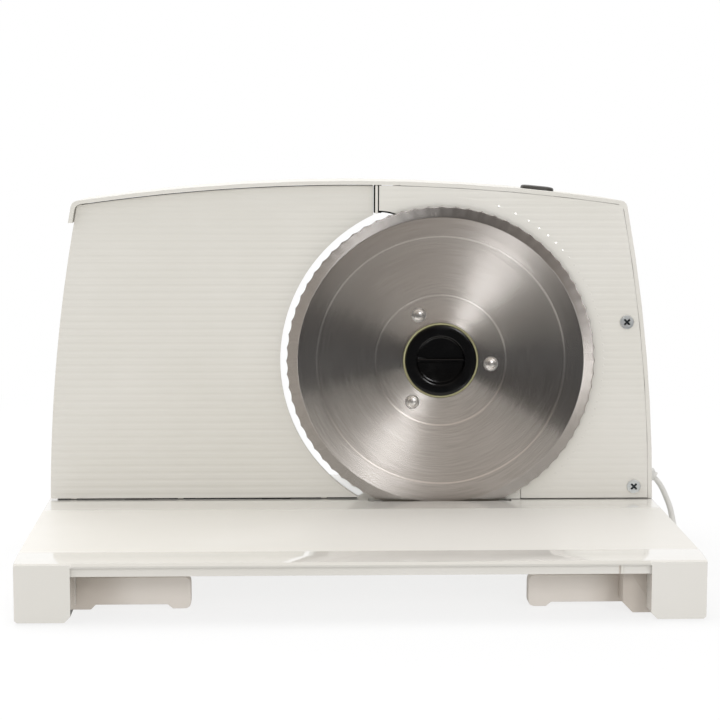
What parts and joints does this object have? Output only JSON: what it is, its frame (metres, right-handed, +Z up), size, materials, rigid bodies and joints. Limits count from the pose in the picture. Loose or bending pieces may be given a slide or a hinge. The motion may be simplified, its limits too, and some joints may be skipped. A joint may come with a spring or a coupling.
{
  "type": "electric food slicer",
  "caption": "Electric food slicer with a fixed table, a round scalloped blade on a worm-driven motor and a ribbed fence plate that slides back to set the slice thickness.",
  "frame": {"origin": "on the worktop under the middle of the base's width and of the depth from the front edge to the thickness knob", "axes": "+X to the right along the table's front edge, +Y away from the user, +Z up"},
  "size_m": [0.3572, 0.244, 0.207],
  "materials": {
    "gloss_white": "smooth gloss",
    "satin_white": "fine satin",
    "grey_plastic": "satin",
    "black_plastic": "satin",
    "white_flex": "satin",
    "rubber": "matt",
    "steel": "brushed",
    "zinc": "zinc plated",
    "nylon": "satin",
    "copper": "wound copper",
    "iron": "laminated"
  },
  "bodies": {
    "housing": {"base": "gloss_white", "bottom_cover": "grey_plastic", "bottom_cover_screw_1": "zinc", "bottom_cover_screw_2": "zinc", "left_foot_bar": "satin_white", "right_foot_bar": "satin_white", "rubber_foot_front_left": "rubber", "rubber_foot_front_right": "rubber", "rubber_foot_rear_left": "rubber", "rubber_foot_rear_right": "rubber", "motor_case": "satin_white", "case_screw_1": "zinc", "case_screw_2": "zinc", "case_screw_3": "zinc", "front_panel": "satin_white", "panel_screw_upper": "zinc", "panel_screw_lower": "zinc", "gear_plate": "grey_plastic", "gear_plate_screw_1": "zinc", "gear_plate_screw_2": "zinc", "gear_plate_screw_3": "zinc", "blade_axle": "steel", "motor_stator": "iron", "front_motor_bracket": "grey_plastic", "rear_motor_bracket": "grey_plastic", "brush_front": "grey_plastic", "brush_rear": "grey_plastic", "switch_body": "black_plastic", "switch_spring": "steel", "guide_rod_1": "steel", "guide_rod_2": "steel", "cord_gland": "white_flex", "terminal_block": "grey_plastic", "power_cord": "white_flex", "power_cord_coil": "white_flex", "cord_tie": "black_plastic", "mains_plug": "white_flex"},
    "armature": {"motor_shaft": "steel", "armature_core": "copper", "commutator": "copper", "motor_worm": "steel", "motor_fan": "grey_plastic"},
    "drive_wheel": {"worm_gear": "nylon", "drive_pinion": "steel"},
    "blade": {"blade": "steel", "blade_gear": "nylon", "blade_rivet_1": "steel", "blade_rivet_2": "steel", "blade_rivet_3": "steel"},
    "blade_lock": {"blade_lock_knob": "black_plastic"},
    "thickness_dial": {"thickness_knob": "grey_plastic", "thickness_spindle": "nylon", "knob_screw": "zinc"},
    "fence": {"fence_plate": "satin_white", "fence_slide": "grey_plastic", "follower_pin": "steel", "fence_screw_1": "zinc", "fence_screw_2": "zinc"},
    "switch": {"switch_button": "grey_plastic"}
  },
  "joints": [
    {"name": "armature_spin", "type": "hinge", "parent": "housing", "child": "armature", "pos_m": [0.08637, 0.072, 0.05825], "axis": [1, 0, 0], "continuous": true},
    {"name": "worm_gear_spin", "type": "hinge", "parent": "housing", "child": "drive_wheel", "pos_m": [0.08637, 0.072, 0.08675], "axis": [0, 1, 0], "continuous": true},
    {"name": "blade_spin", "type": "hinge", "parent": "housing", "child": "blade", "pos_m": [0.0487, 0.03, 0.1085], "axis": [0, 1, 0], "continuous": true},
    {"name": "blade_lock_turn", "type": "hinge", "parent": "blade", "child": "blade_lock", "pos_m": [0.0487, 0.03, 0.1085], "axis": [0, 1, 0], "range_deg": [0, 90]},
    {"name": "thickness_turn", "type": "hinge", "parent": "housing", "child": "thickness_dial", "pos_m": [0.025, 0.116, 0.058], "axis": [0, 1, 0], "range_deg": [-120, 180]},
    {"name": "fence_shift", "type": "slide", "parent": "housing", "child": "fence", "axis": [0, 1, 0], "range_m": [-0.006, 0.009]},
    {"name": "switch_press", "type": "slide", "parent": "housing", "child": "switch", "axis": [-0.1012, 0, -0.9949], "range_m": [0, 0.0025], "stiffness_N_per_m": 300, "deforming": ["switch_spring"]}
  ],
  "couplings": [
    {"joint": "worm_gear_spin", "follows": "armature_spin", "ratio": 0.033333},
    {"joint": "blade_spin", "follows": "armature_spin", "ratio": -0.010606},
    {"joint": "thickness_turn", "follows": "fence_shift", "rad_per_m": 349.07}
  ]
}
